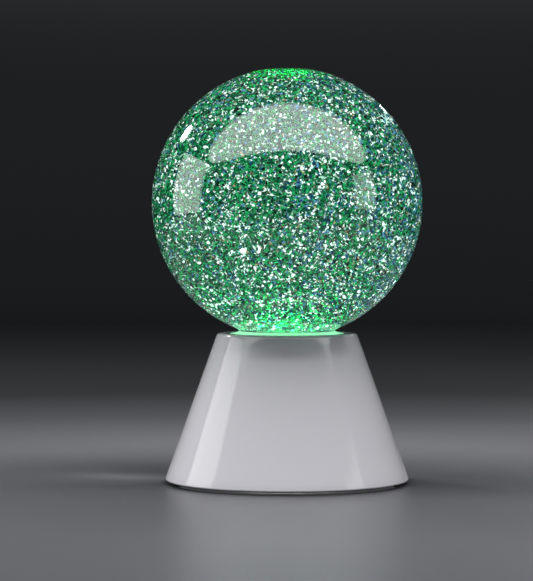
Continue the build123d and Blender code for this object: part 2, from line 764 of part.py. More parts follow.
with BuildPart() as base_plate:
    with Locations((0, 0, plate_bottom)):
        Cylinder(inner_radius(plate_top) - plate_gap, plate_thickness, align=UPRIGHT)
    chamfer(base_plate.edges().group_by(Axis.Z)[0], 0.4)
    with BuildSketch(Plane.XY.offset(plate_bottom)):
        with Locations((0, well_shift)):
            Rectangle(well_length + 2 * well_wall, well_width + 2 * well_wall)
    extrude(amount=well_top - plate_bottom)
    with BuildSketch(Plane.XY.offset(plate_bottom)):
        with Locations((0, well_shift)):
            Rectangle(well_length, well_width)
    extrude(amount=well_ceiling - plate_bottom, mode=Mode.SUBTRACT)
    with BuildSketch(Plane.XY.offset(plate_bottom)) as recess_outline:
        with Locations((0, recess_middle)):
            Rectangle(recess_length, recess_back - recess_front)
        fillet(recess_outline.vertices().group_by(Axis.Y)[-1], door_corner + door_gap)
    extrude(amount=ledge_bottom - plate_bottom, mode=Mode.SUBTRACT)
    # room for the door's hinge barrel, and the two holes its pins turn in
    for length, radius in (
        (recess_length, hinge_radius + hinge_gap),
        (door_length + 2 * (hinge_pin_length + hinge_gap), hinge_pin_radius + running_gap),
    ):
        with BuildSketch(Plane.YZ.offset(-length / 2)):
            with Locations((hinge_y, hinge_z)):
                Circle(radius)
        extrude(amount=length, mode=Mode.SUBTRACT)
    # gap for the latch tongue
    with BuildSketch(Plane.XY.offset(plate_bottom)):
        with Locations((0, recess_back - 1.0)):
            Rectangle(tongue_width + 1.2, tongue_reach + 1.6, align=(CENTER, LOW))
    extrude(amount=plate_thickness, mode=Mode.SUBTRACT)
    # slots for the solder tabs of the battery contacts
    for end in (-1, 1):
        with BuildSketch(Plane.XY.offset(well_ceiling)):
            with Locations((end * (well_length / 2 - 0.4), cell_rows[0 if end < 0 else -1])):
                Rectangle(1.0, 3.6)
        extrude(amount=well_roof, mode=Mode.SUBTRACT)
    # standoffs for the control board
    with Locations(*board_posts):
        Cylinder(2.4, board_standoff, align=UPRIGHT)
        Cylinder(small_pilot, board_standoff, align=UPRIGHT, mode=Mode.SUBTRACT)
    # slot and thumb recess for the switch
    with BuildSketch(Plane.XY.offset(plate_bottom)):
        with Locations((0, switch_middle)):
            SlotOverall(12.0, 6.0)
    extrude(amount=1.2, mode=Mode.SUBTRACT)
    with BuildSketch(Plane.XY.offset(plate_bottom)):
        with Locations((0, switch_middle)):
            Rectangle(knob_length + switch_travel + 0.8, knob_width + 0.8)
    extrude(amount=plate_thickness, mode=Mode.SUBTRACT)
    # screw holes with sunk heads, and seats for the feet
    with Locations(*[(x, y, plate_bottom) for x, y, _ in plate_bosses]):
        head_room = screw_head_diameter / 2 + 0.3
        Cylinder(head_room, plate_screw_sink, align=UPRIGHT, mode=Mode.SUBTRACT)
        Cylinder(pilot_radius, plate_thickness, align=UPRIGHT, mode=Mode.SUBTRACT)
    with Locations(*polar_points(foot_circle, foot_count, 0, plate_bottom)):
        Cylinder(foot_diameter / 2 + foot_seat_gap, foot_depth, align=UPRIGHT, mode=Mode.SUBTRACT)

plate_screw = pan_screw(screw_diameter, screw_head_diameter, 1.2, 8.0)
with BuildPart() as base_plate_screws:
    with Locations(*[(x, y, plate_bottom + plate_screw_sink) for x, y, _ in plate_bosses]):
        add(plate_screw)

with BuildPart() as rubber_feet:
    with Locations(*polar_points(foot_circle, foot_count, 0, 0)):
        Cylinder(foot_diameter / 2, foot_standoff + foot_depth, align=UPRIGHT)
    fillet(rubber_feet.edges().group_by(Axis.Z)[0], 0.3)

# ---------------------------------------------------------------- battery door
with BuildPart() as battery_door:
    with BuildSketch(Plane.XY.offset(plate_bottom)) as door_outline:
        with Locations((0, hinge_y)):
            Rectangle(door_length, door_back - hinge_y, align=(CENTER, LOW))
        fillet(door_outline.vertices().group_by(Axis.Y)[-1], door_corner)
    extrude(amount=door_thickness)
    # hinge barrel along the front edge, with a pin at each end
    for length, radius in (
        (door_length, hinge_radius),
        (door_length + 2 * hinge_pin_length, hinge_pin_radius),
    ):
        with BuildSketch(Plane.YZ.offset(-length / 2)):
            with Locations((hinge_y, hinge_z)):
                Circle(radius)
        extrude(amount=length)
    with BuildSketch(Plane.XY.offset(plate_bottom)):
        with Locations((0, door_back - 1.0)):
            Rectangle(tongue_width, tongue_reach + 1.0, align=(CENTER, LOW))
    extrude(amount=door_thickness)
    with BuildSketch(Plane.XY.offset(door_top)):
        with Locations((0, door_back + tongue_reach)):
            Rectangle(tongue_width, 0.9, align=(CENTER, HIGH))
    extrude(amount=latch_rise)
    with BuildSketch(Plane.XY.offset(door_top + latch_rise)):
        with Locations((0, door_back + tongue_reach - 0.9)):
            Rectangle(tongue_width, 0.9 + latch_nose, align=(CENTER, LOW))
    extrude(amount=-0.8)
    # grip ridges across the tongue
    with BuildSketch(Plane.XY.offset(plate_bottom)):
        with GridLocations(0, 1.2, 1, 4):
            with Locations((0, door_back - 0.8)):
                Rectangle(tongue_width - 3, 0.5)
    extrude(amount=0.35, mode=Mode.SUBTRACT)

# ---------------------------------------------------------------- cells and contacts
with BuildPart() as battery_cells:
    for row, nub in zip(cell_rows, nub_ends):
        inner_end = nub * (well_length / 2 - contact_thickness - cell_nub_height)
        body_middle = inner_end - nub * cell_length / 2
        with Locations((body_middle, row, cell_axis)):
            Cylinder(cell_diameter / 2, cell_length, rotation=(0, 90, 0))
        with Locations((inner_end + nub * cell_nub_height / 2, row, cell_axis)):
            Cylinder(cell_nub_diameter / 2, cell_nub_height, rotation=(0, 90, 0))

contact_height = cell_diameter - 3.0
solder_tab_top = well_top + 2.0
contact_width = cell_diameter - 2.0
with BuildPart() as contact_plates:
    for end in (-1, 1):
        wall_face = end * (well_length / 2 - contact_thickness / 2)
        single, pair = (cell_rows[0], cell_rows[1:]) if end < 0 else (cell_rows[-1], cell_rows[:-1])
        with Locations((wall_face, single, cell_axis)):
            Box(contact_thickness, contact_width, contact_height)
        with Locations((wall_face, single, cell_axis)):
            Box(contact_thickness, 3.0, solder_tab_top - cell_axis, align=UPRIGHT)
        with Locations((wall_face, sum(pair) / len(pair), cell_axis)):
            Box(contact_thickness, contact_width + (len(pair) - 1) * cell_pitch, contact_height)

spring_wire = 0.7
spring_big = 4.6
spring_small = 2.4
spring_turns = 3
spring_height = spring_room - spring_wire
with BuildPart() as contact_springs:
    for row, nub in zip(cell_rows, nub_ends):
        foot = -nub * (well_length / 2 - contact_thickness - spring_wire / 2)
        with BuildLine() as coil:
            Helix(
                pitch=spring_height / spring_turns,
                height=spring_height,
                radius=spring_big,
                center=(foot, row, cell_axis),
                direction=(nub, 0, 0),
                cone_angle=-degrees(atan((spring_big - spring_small) / spring_height)),
            )
        with BuildSketch(Plane(origin=coil.line @ 0, z_dir=coil.line % 0)):
            Circle(spring_wire / 2)
        sweep(path=coil.line, is_frenet=True)

# ---------------------------------------------------------------- control board
with BuildPart() as control_board:
    with BuildSketch(Plane.XY.offset(board_bottom)):
        with Locations((0, board_middle)):
            RectangleRounded(board_length, board_width, 1.0)
        with Locations(*[(x, y) for x, y, _ in board_posts]):
            Circle(small_pilot, mode=Mode.SUBTRACT)
    extrude(amount=board_thickness)

with BuildPart() as control_board_screws:
    with Locations(*[(x, y, board_top) for x, y, _ in board_posts]):
        add(long_small_screw, rotation=(180, 0, 0))

with BuildPart() as board_parts:
    with Locations((0, board_middle - 1, board_top)):
        Box(6.0, 5.0, 1.5, align=UPRIGHT)
    with Locations((8.5, board_middle, board_top)):
        Cylinder(2.5, 5.5, align=UPRIGHT)
    with Locations((-8.5, board_middle + 1, board_top)):
        Box(2.6, 3.4, 1.1, align=UPRIGHT)
    with GridLocations(2.6, 0, 3, 1):
        with Locations((0, board_middle + 4, board_top)):
            Box(1.2, 2.0, 0.5, align=UPRIGHT)

with BuildPart() as power_socket:
    with BuildSketch(Plane.XZ.offset(-socket_back)):
        with Locations((0, socket_middle)):
            RectangleRounded(socket_width, socket_height, socket_height / 2 - 0.05)
    extrude(amount=socket_length)
    with BuildSketch(Plane.XZ.offset(-socket_back)):
        with Locations((0, socket_middle)):
            inner_height = socket_height - 2 * socket_shell
            RectangleRounded(
                socket_width - 2 * socket_shell, inner_height, inner_height / 2 - 0.05
            )
    extrude(amount=socket_length - 1.5, mode=Mode.SUBTRACT)

with BuildPart() as socket_tongue:
    with BuildSketch(Plane.XZ.offset(-(socket_back - 1.0))):
        with Locations((0, socket_middle)):
            Rectangle(socket_width - 2.6, 0.8)
    extrude(amount=socket_length - 2.5)

switch_body_height = 3.4
switch_body_bottom = board_bottom - switch_body_height
slider_length = 4.0
slider_width = 2.4
slider_height = 1.2
with BuildPart() as switch_body:
    with Locations((0, switch_middle, switch_body_bottom)):
        Box(11.0, 5.6, switch_body_height, align=UPRIGHT)
        Box(
            slider_length + switch_travel + 0.6,
            slider_width + 0.4,
            slider_height + 0.3,
            align=UPRIGHT,
            mode=Mode.SUBTRACT,
        )

# The slider rests at the lit end of its slot and slides to -X to switch the lamp off.
slider_rest = switch_travel / 2
with BuildPart() as switch_slider:
    with Locations((slider_rest, switch_middle, switch_body_bottom + 0.1)):
        Box(slider_length, slider_width, slider_height, align=UPRIGHT)
    with Locations((slider_rest, switch_middle, switch_body_bottom + 0.1)):
        knob_drop = switch_body_bottom + 0.1 - plate_bottom - 0.3
        Box(knob_length, knob_width, knob_drop, align=(CENTER, CENTER, HIGH))
    fillet(switch_slider.edges().group_by(Axis.Z)[0], 0.3)

# ---------------------------------------------------------------- leads
tab_face = well_length / 2 - contact_thickness
lead_lift = well_top + 1.1  # just over the roof of the battery bay
past_well = well_back + well_wall + 1.8
battery_lead_black = lead(
    [
        (-tab_face, cell_rows[0], lead_lift),
        (-tab_face + 5.0, cell_rows[0], lead_lift),
        (-20.0, well_shift, lead_lift + 0.6),
        (-13.0, past_well - 3.0, lead_lift + 1.2),
        (-6.5, board_front + 3.0, lead_lift - 0.5),
        (-6.5, board_front + 3.0, board_top),
    ],
    lead_diameter,
)
battery_lead_red = lead(
    [
        (tab_face, cell_rows[-1], lead_lift),
        (tab_face - 6.0, cell_rows[-1], lead_lift),
        (15.0, past_well - 2.0, lead_lift + 1.2),
        (6.5, board_front + 3.0, lead_lift - 0.5),
        (6.5, board_front + 3.0, board_top),
    ],
    lead_diameter,
)
terminal_face = terminal_y + 0.2
terminal_z = motor_bottom - 2.0
motor_leads = [
    lead(
        [
            (s * terminal_x, terminal_face, terminal_z),
            (s * terminal_x, past_well - 3.0, terminal_z),
            (s * 2.6, board_front + 4.0, terminal_z - 1.0),
            (s * 2.6, board_front + 4.0, board_top),
        ],
        lead_diameter,
    )
    for s in (-1, 1)
]
light_lead_diameter = 1.0
light_lead_pitch = 1.3
light_lead_gap = 1.8
light_lead_angle = 118.0
light_lead_circle = bracket_hub_radius + light_lead_gap
light_lead_x, light_lead_y, _ = polar_points(light_lead_circle, 1, light_lead_angle, 0)[0]
light_lead_middle = (light_board_bottom + board_top) / 2
light_leads = [
    lead(
        [
            (light_lead_x + shift, light_lead_y, light_board_bottom),
            (light_lead_x + shift, light_lead_y, light_lead_middle),
            (-board_length / 2 + 2.6 + shift, board_middle, light_lead_middle - 6.0),
            (-board_length / 2 + 2.6 + shift, board_middle, board_top),
        ],
        light_lead_diameter,
    )
    for shift in (0, light_lead_pitch)
]

# ---------------------------------------------------------------- write every piece
pieces = {
    "globe_shell": globe_shell.part,
    "liquid_fill": liquid_fill.part,
    "globe_plug": globe_plug.part,
    "plug_seal": plug_seal.part,
    "lip_gasket": lip_gasket.part,
    "fill_bung": fill_bung.part,
    "pivot_pin": pivot_pin.part,
    "thrust_washer": thrust_washer.part,
    "pin_retainer": pin_retainer.part,
    "impeller": impeller.part,
    "impeller_magnets": impeller_magnets.part,
    "base_housing": base_housing.part,
    "light_ring": light_ring.part,
    "globe_clamp": globe_clamp.part,
    "clamp_screws": clamp_screws.part,
    "motor_bracket": motor_bracket.part,
    "bracket_screws": bracket_screws.part,
    "motor_screws": motor_screws.part,
    "motor_can": motor_can.part,
    "motor_end_cap": motor_end_cap.part,
    "motor_bushes": motor_bushes.part,
    "field_magnet": field_magnet.part,
    "motor_terminals": motor_terminals.part,
    "armature_core": armature_core.part,
    "armature_windings": armature_windings.part,
    "commutator": commutator.part,
    "motor_brushes": motor_brushes.part,
    "motor_shaft": motor_shaft.part,
    "drive_disc": drive_disc.part,
    "drive_magnets": drive_magnets.part,
    "light_board": light_board.part,
    "light_chips": light_chips.part,
    "light_board_screws": light_board_screws.part,
    "base_plate": base_plate.part,
    "base_plate_screws": base_plate_screws.part,
    "rubber_feet": rubber_feet.part,
    "battery_door": battery_door.part,
    "battery_cells": battery_cells.part,
    "contact_plates": contact_plates.part,
    "contact_springs": contact_springs.part,
    "control_board": control_board.part,
    "control_board_screws": control_board_screws.part,
    "board_parts": board_parts.part,
    "power_socket": power_socket.part,
    "socket_tongue": socket_tongue.part,
    "switch_body": switch_body.part,
    "switch_slider": switch_slider.part,
    "battery_lead_black": battery_lead_black,
    "battery_lead_red": battery_lead_red,
    "motor_lead_black": motor_leads[0],
    "motor_lead_red": motor_leads[1],
    "light_leads": Compound(children=light_leads),
}

os.makedirs("parts", exist_ok=True)
for name, piece in pieces.items():
    piece.label = name
    export_step(piece, f"parts/{name}.step")
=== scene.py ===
# Gives the glitter globe lamp its looks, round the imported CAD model. Sizes are in millimetres until
# a mesh is made, and meshes are in metres.
import json

import bmesh
import bpy
import numpy as np
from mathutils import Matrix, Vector


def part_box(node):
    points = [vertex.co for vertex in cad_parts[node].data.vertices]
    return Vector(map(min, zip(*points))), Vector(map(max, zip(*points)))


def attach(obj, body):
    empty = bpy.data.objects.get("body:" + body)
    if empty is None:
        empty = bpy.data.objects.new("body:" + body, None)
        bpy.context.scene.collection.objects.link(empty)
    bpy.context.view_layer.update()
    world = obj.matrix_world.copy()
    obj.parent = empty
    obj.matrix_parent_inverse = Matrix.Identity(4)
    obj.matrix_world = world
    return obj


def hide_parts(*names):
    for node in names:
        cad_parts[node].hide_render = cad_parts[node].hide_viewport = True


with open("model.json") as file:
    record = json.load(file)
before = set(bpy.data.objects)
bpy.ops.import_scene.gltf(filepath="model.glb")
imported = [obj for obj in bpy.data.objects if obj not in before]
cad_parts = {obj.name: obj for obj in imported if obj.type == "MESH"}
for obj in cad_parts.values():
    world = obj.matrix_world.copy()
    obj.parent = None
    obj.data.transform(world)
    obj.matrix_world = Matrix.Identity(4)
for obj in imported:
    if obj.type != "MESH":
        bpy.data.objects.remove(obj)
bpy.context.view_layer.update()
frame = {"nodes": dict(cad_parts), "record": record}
nodes = frame["nodes"]
mm = 0.001
print("frame loaded:", len(nodes), "nodes")


# ---- small tools for meshes ----


def addPiece(name, points, faces, body="base", creaseAngle=40, flat=False, weld=True):
    # points are in millimetres; faces are rows of corner numbers, all with the same count
    corners = faces.shape[1]
    mesh = bpy.data.meshes.new(name)
    mesh.vertices.add(len(points))
    mesh.vertices.foreach_set("co", (points * mm).astype(np.float32).ravel())
    mesh.loops.add(faces.size)
    mesh.loops.foreach_set("vertex_index", faces.ravel().astype(np.int32))
    mesh.polygons.add(len(faces))
    mesh.polygons.foreach_set("loop_start", np.arange(0, faces.size, corners, dtype=np.int32))
    mesh.polygons.foreach_set("loop_total", np.full(len(faces), corners, np.int32))
    mesh.update(calc_edges=True)
    if weld:
        # the rings at the poles and the seams of patches become single points
        work = bmesh.new()
        work.from_mesh(mesh)
        bmesh.ops.remove_doubles(work, verts=work.verts, dist=2e-7)
        bmesh.ops.recalc_face_normals(work, faces=work.faces)
        work.to_mesh(mesh)
        work.free()
    mesh.validate()
    if not flat:
        mesh.shade_smooth()
        mesh.set_sharp_from_angle(angle=np.radians(creaseAngle))
    piece = bpy.data.objects.new(name, mesh)
    bpy.context.scene.collection.objects.link(piece)
    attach(piece, body)
    return piece


def arcPoints(centre, radius, start, end, count):
    # profile points on a circle, from one angle to another in degrees
    turn = np.radians(np.linspace(start, end, count))
    return np.column_stack([centre[0] + radius * np.cos(turn), centre[1] + radius * np.sin(turn)])


def roundedPath(corners, radii, steps=6):
    # straight runs between corners, each corner replaced by a tangent arc of its own radius
    corners = np.asarray(corners, float)
    path = [corners[:1]]
    for before, here, after, radius in zip(corners, corners[1:], corners[2:], radii):
        toBefore = (before - here) / np.linalg.norm(before - here)
        toAfter = (after - here) / np.linalg.norm(after - here)
        halfAngle = 0.5 * np.arccos(np.clip(toBefore @ toAfter, -1, 1))
        if radius == 0 or halfAngle > 1.56:
            path.append(here[None])
            continue
        middle = (toBefore + toAfter) / np.linalg.norm(toBefore + toAfter)
        centre = here + middle * radius / np.sin(halfAngle)
        first = here + toBefore * radius / np.tan(halfAngle)
        last = here + toAfter * radius / np.tan(halfAngle)
        start = np.arctan2(*(first - centre)[::-1])
        sweep = (np.arctan2(*(last - centre)[::-1]) - start + np.pi) % (2 * np.pi) - np.pi
        path.append(arcPoints(centre, radius, *np.degrees([start, start + sweep]), steps))
    path.append(corners[-1:])
    return np.vstack(path)


def latheGrid(profile, segments, ring=False):
    # point (i, j) is profile point i turned by j equal steps about the upright axis;
    # ring joins the last profile point to the first
    turn = 2 * np.pi * np.arange(segments) / segments
    radius, height = profile[:, :1], profile[:, 1:]
    grid = np.stack([radius * np.cos(turn), radius * np.sin(turn), height + 0 * turn], axis=2)
    rows = np.arange(len(profile) * segments).reshape(-1, segments)
    if ring:
        rows = np.vstack([rows, rows[:1]])
    lower, upper = rows[:-1], rows[1:]
    quads = np.stack([lower, np.roll(lower, -1, 1), np.roll(upper, -1, 1), upper], axis=2)
    return grid, quads


def lathe(name, profile, segments, ring=False, **options):
    grid, quads = latheGrid(np.asarray(profile, float), segments, ring)
    return addPiece(name, grid.reshape(-1, 3), quads.reshape(-1, 4), **options)


# ---- small tools for materials ----


def linear(hexColour, alpha=1.0):
    # an sRGB hex value as linear light
    value = np.array([int(hexColour[i : i + 2], 16) for i in (1, 3, 5)]) / 255
    light = np.where(value <= 0.04045, value / 12.92, ((value + 0.055) / 1.055) ** 2.4)
    return (*light, alpha)


def addNode(tree, kind, settings=None, inputs=None):
    # a node with its settings; an input is a value or another node's output socket
    made = tree.nodes.new(kind)
    for key, value in (settings or {}).items():
        setattr(made, key, value)
    for key, value in (inputs or {}).items():
        if isinstance(value, bpy.types.NodeSocket):
            tree.links.new(value, made.inputs[key])
        else:
            made.inputs[key].default_value = value
    return made


def startMaterial(name):
    material = bpy.data.materials.new(name)
    material.use_nodes = True
    tree = material.node_tree
    tree.nodes.clear()
    place = addNode(tree, "ShaderNodeTexCoord").outputs["Object"]
    return material, tree, place


def finishMaterial(material, tree, surface, volume=None):
    output = addNode(tree, "ShaderNodeOutputMaterial", inputs={"Surface": surface})
    if volume:
        tree.links.new(volume, output.inputs["Volume"])
    return material


def bumpFrom(tree, height, strength, depthMm):
    return addNode(
        tree,
        "ShaderNodeBump",
        inputs={"Height": height, "Strength": strength, "Distance": depthMm * mm},
    ).outputs["Normal"]


def letLampsThrough(tree, shader):
    # lamps reach the glitter through the clear skins, and each skin bends some of the light away
    seen = addNode(tree, "ShaderNodeLightPath").outputs["Is Shadow Ray"]
    clear = addNode(tree, "ShaderNodeBsdfTransparent", inputs={"Color": (0.5, 0.53, 0.52, 1.0)})
    return addNode(
        tree,
        "ShaderNodeMixShader",
        inputs={0: seen, 1: shader.outputs[0], 2: clear.outputs[0]},
    ).outputs[0]


# ---- the ball ----

ball = {
    "radius": 62.5,
    "wall": 2.5,
    "neckRadius": 22.0,
    "lipRadius": 24.5,
    "lipThickness": 3.0,
    "neckBlend": 1.5,
    "glassColour": "#F6FCFA",
    "glassIor": 1.47,
    "roundSteps": 224,
}
liquid = {
    "overlap": 0.15,
    "airRadius": 11.4,
    "airRound": 0.8,
    # the stirrer turns in a clear round space: its radius and top
    "pocketRadius": 15.6,
    "pocketTop": 75.05,
    "tint": "#F2FCF7",
    "ior": 1.333,
    "absorbColour": (0.08, 0.82, 0.6, 1.0),
    "absorbDensity": 9.0,
    # painted glow: the liquid shines green by itself, standing in for the light from below
    "glowColour": (0.03, 0.41, 0.25, 1.0),
    "glowStrength": 1.2,
}

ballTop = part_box("globe_shell")[1].z / mm
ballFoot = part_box("globe_shell")[0].z / mm
ballCentre = ballTop - ball["radius"]
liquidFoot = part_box("liquid_fill")[0].z / mm
cavityRadius = ball["radius"] - ball["wall"]
boreRadius = ball["neckRadius"] - ball["wall"]


def neckedSphere(sphereRadius, neckRadius, blend, count):
    # from the neck up to the pole: a concave arc of the blend's radius, tangent to the neck and
    # to the sphere, then the sphere
    blendX = neckRadius + blend
    drop = np.sqrt((sphereRadius + blend) ** 2 - blendX**2)
    blendCentre = (blendX, ballCentre - drop)
    meet = np.degrees(np.arctan2(drop, -blendX))
    low = np.degrees(np.arctan2(-drop, blendX))
    blendArc = arcPoints(blendCentre, blend, 180, meet, 9)
    sphereArc = arcPoints((0, ballCentre), sphereRadius, low, 90, count)
    return np.vstack([blendArc, sphereArc[1:]])


def blownGlass():
    # borosilicate glass, blown and fire-polished: clear, with a sharp skin gloss and a very slow
    # waviness that only moves the reflections
    material, tree, place = startMaterial("blownGlass")
    waves = addNode(tree, "ShaderNodeTexNoise", inputs={"Vector": place, "Scale": 22.0, "Detail": 1.0})
    glass = addNode(
        tree,
        "ShaderNodeBsdfPrincipled",
        inputs={
            "Base Color": linear(ball["glassColour"]),
            "Roughness": 0.0,
            "IOR": ball["glassIor"],
            "Transmission Weight": 1.0,
            "Normal": bumpFrom(tree, waves.outputs["Fac"], 0.25, 0.12),
        },
    )
    return finishMaterial(material, tree, letLampsThrough(tree, glass))


def greenLiquid():
    # water with glycol: what lies deeper goes darker and greener, and a painted green glow all through it
    # stands in for the green light from below, so the dark gaps between flakes stay green
    material, tree, _ = startMaterial("greenLiquid")
    water = addNode(
        tree,
        "ShaderNodeBsdfPrincipled",
        inputs={
            "Base Color": linear(liquid["tint"]),
            "Roughness": 0.0,
            "IOR": liquid["ior"],
            "Transmission Weight": 1.0,
        },
    )
    depth = addNode(
        tree,
        "ShaderNodeVolumeAbsorption",
        inputs={"Color": liquid["absorbColour"], "Density": liquid["absorbDensity"]},
    )
    paintedLiquidGlow = addNode(
        tree,
        "ShaderNodeEmission",
        inputs={"Color": liquid["glowColour"], "Strength": liquid["glowStrength"]},
    )
    both = addNode(tree, "ShaderNodeAddShader", inputs={0: depth.outputs[0], 1: paintedLiquidGlow.outputs[0]})
    return finishMaterial(material, tree, letLampsThrough(tree, water), both.outputs[0])


def makeBall():
    outside = neckedSphere(ball["radius"], ball["neckRadius"], ball["neckBlend"], 130)
    inside = neckedSphere(cavityRadius, boreRadius, ball["neckBlend"], 120)
    lip = roundedPath(
        [
            (boreRadius, ballFoot + 8),
            (boreRadius, ballFoot),
            (ball["lipRadius"], ballFoot),
            (ball["lipRadius"], ballFoot + ball["lipThickness"]),
            (ball["neckRadius"], ballFoot + ball["lipThickness"]),
            (ball["neckRadius"], ballFoot + 8),
        ],
        [0.6, 0.6, 0.6, 0.4],
    )
    profile = np.vstack([inside[::-1], lip, outside])
    shell = lathe("ballGlass", profile, ball["roundSteps"])
    shell.data.materials.append(blownGlass())
    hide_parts("globe_shell")


def makeLiquid():
    # reaches just into the glass, so no film of air is left between them
    radius = cavityRadius + liquid["overlap"]
    level = ballCentre + np.sqrt(cavityRadius**2 - liquid["airRadius"] ** 2)
    top = np.degrees(np.arccos(liquid["airRadius"] / radius))
    skin = neckedSphere(radius, boreRadius + liquid["overlap"], ball["neckBlend"], 120)
    skin = skin[skin[:, 1] < ballCentre + radius * np.sin(np.radians(top)) - 0.3]
    # the surface of the liquid is flat in the middle and climbs the glass at its rim
    across = np.linspace(1, 0, 26)[:, None]
    rim = liquid["airRadius"] - liquid["airRound"]
    climb = np.exp(-(1 - across) * liquid["airRadius"] / 1.1)
    surface = np.hstack([across * liquid["airRadius"], level + 0.55 * climb])
    pocket = [(0, liquid["pocketTop"]), (liquid["pocketRadius"], liquid["pocketTop"])]
    foot = [(liquid["pocketRadius"], liquidFoot), (boreRadius + liquid["overlap"], liquidFoot)]
    profile = np.vstack([pocket, foot, skin, surface[surface[:, 0] < rim + 0.9]])
    body = lathe("liquid", profile, 192)
    body.data.materials.append(greenLiquid())
    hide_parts("liquid_fill")
    return level


makeBall()
liquidLevel = makeLiquid()
print("ball and liquid made")

# ---- the glitter ----

glitter = {
    "seed": 41,
    "flakeThickness": 0.07,
    "perPiece": 5800,
    "wallGap": 0.9,
    # inside the first radius the flakes are dense, past the second only a few drift
    "denseRadius": 41.0,
    "sparseRadius": 51.0,
    "sparseShare": 0.16,
    "stirrerRadius": 17.5,
    "stirrerTop": 75.0,
    "floating": 1200,
    "floatingDepth": 8.0,
    "colours": [
        # name, pieces, share of a full piece, sizes, brightest, dullest foil, roughness, painted glow;
        # the light ones named last are carried outwards
        ("silverGlitter", 3, 1.0, (1.0, 2.0), "#FFFFFF", "#2A423C", 0.16, 1.4),
        ("greenGlitter", 3, 1.0, (1.4, 2.8), "#34CC7C", "#095A3C", 0.35, 0.48),
        ("darkGlitter", 1, 1.0, (1.0, 2.0), "#2C453A", "#0C1612", 0.4, 0.0),
        ("goldGlitter", 1, 0.3, (0.9, 1.7), "#FFE0B0", "#6E5A3C", 0.22, 0.35),
        ("blueGlitter", 1, 1.0, (1.1, 2.2), "#7FC0EA", "#1A5272", 0.25, 0.45),
    ],
    # how much denser each colour is to the right than in the middle
    "drift": {"greenGlitter": -0.4, "goldGlitter": 0.4, "blueGlitter": 0.6},
    "carriedOut": ["goldGlitter", "blueGlitter"],
    # two large ones hang near the wall, glowing white as painted highlights: place from the ball's centre,
    # size
    "sequins": [((-18.6, -49.0, -21.2), 3.6), ((-12.2, -51.0, -21.6), 1.8)],
    "sequinFacing": (0.0, -0.825, 0.565),
}


def flakePlaces(random, count, carriedOut=False, drift=0.0):
    # points spread evenly in the cavity, thinned where a slow swirl of the liquid has fewer flakes
    tries = random.uniform(-1, 1, (count * 10, 3)) * cavityRadius
    x, y, z = tries.T
    reach = np.sqrt(x**2 + y**2 + z**2)
    around = np.arctan2(y, x)
    swirl = np.sin(3 * around + z / 9) * np.sin(z / 13 - around) + np.sin(x / 7 + 1) * np.sin(y / 8)
    outward = [glitter["denseRadius"], glitter["sparseRadius"]]
    share = np.interp(reach, outward, [0.1, 0.5] if carriedOut else [0.76, glitter["sparseShare"]])
    share = share * (1 + 0.3 * swirl) * (1 + drift * x / cavityRadius)
    wanted = random.uniform(0, 1, len(tries)) < share
    inBall = reach < cavityRadius - glitter["wallGap"]
    underLevel = z + ballCentre < liquidLevel - 0.8
    atStirrer = (np.hypot(x, y) < glitter["stirrerRadius"]) & (z + ballCentre < glitter["stirrerTop"])
    kept = tries[wanted & inBall & underLevel & ~atStirrer][:count]
    return kept + [0, 0, ballCentre]


def foil(name, bright, dull, roughness, paintedFoilGlow):
    # polyester film coated with aluminium and dyed, punched into hexagons: a soft-edged mirror
    # whose tint differs from flake to flake; the tint is also given off as a painted glow
    material, tree, place = startMaterial(name)
    batch = addNode(tree, "ShaderNodeTexNoise", inputs={"Vector": place, "Scale": 640.0, "Detail": 0.0})
    share = addNode(
        tree, "ShaderNodeMapRange", inputs={"Value": batch.outputs["Fac"], 1: 0.46, 2: 0.62}
    )
    tint = addNode(
        tree,
        "ShaderNodeMix",
        {"data_type": "RGBA"},
        {0: share.outputs[0], 6: linear(dull), 7: linear(bright)},
    )
    film = addNode(
        tree,
        "ShaderNodeBsdfPrincipled",
        inputs={
            "Base Color": tint.outputs[2],
            "Metallic": 0.7,
            "Roughness": roughness,
            # painted glow: each flake shines in its own tint, though no lamp lights it
            "Emission Color": tint.outputs[2],
            "Emission Strength": paintedFoilGlow,
        },
    )
    return finishMaterial(material, tree, film.outputs[0])


def makeFlakes(name, centres, sizes, material, random, facing=None):
    # each flake is a thin closed lens with six sides: rim point k is the centre plus the flake's
    # radius times (cos 60k, sin 60k) along its own two axes, and its two poles stand off along
    # its third axis
    count = len(centres)
    facing = random.normal(size=(count, 3)) if facing is None else np.tile(facing, (count, 1))
    facing /= np.linalg.norm(facing, axis=1, keepdims=True)
    along = np.cross(facing, random.normal(size=(count, 3)))
    along /= np.linalg.norm(along, axis=1, keepdims=True)
    side = np.cross(facing, along)
    radius = random.uniform(*sizes, (count, 1, 1)) / 2
    turn = np.radians(60 * np.arange(6))[None, :, None]
    rim = radius * (np.cos(turn) * along[:, None] + np.sin(turn) * side[:, None])
    poles = np.stack([facing, -facing], axis=1) * glitter["flakeThickness"] / 2
    points = (centres[:, None] + np.concatenate([rim, poles], axis=1)).reshape(-1, 3)
    k = np.arange(6)
    nextK = (k + 1) % 6
    upper = np.stack([k, nextK, np.full(6, 6)], axis=1)
    lower = np.stack([nextK, k, np.full(6, 7)], axis=1)
    pattern = np.vstack([upper, lower])
    faces = (np.arange(count)[:, None, None] * 8 + pattern).reshape(-1, 3)
    flakes = addPiece(name, points, faces, flat=True, weld=False)
    flakes.data.materials.append(material)


def floatingPlaces(random, count):
    # a raft of flakes under the air pocket: even over its disc, wider and thinner downwards
    around = random.uniform(0, 2 * np.pi, count)
    down = 0.7 + glitter["floatingDepth"] * random.uniform(0, 1, count) ** 2
    reach = (liquid["airRadius"] - 0.6 + 0.9 * down) * np.sqrt(random.uniform(0, 1, count))
    return np.column_stack([reach * np.cos(around), reach * np.sin(around), liquidLevel - down])


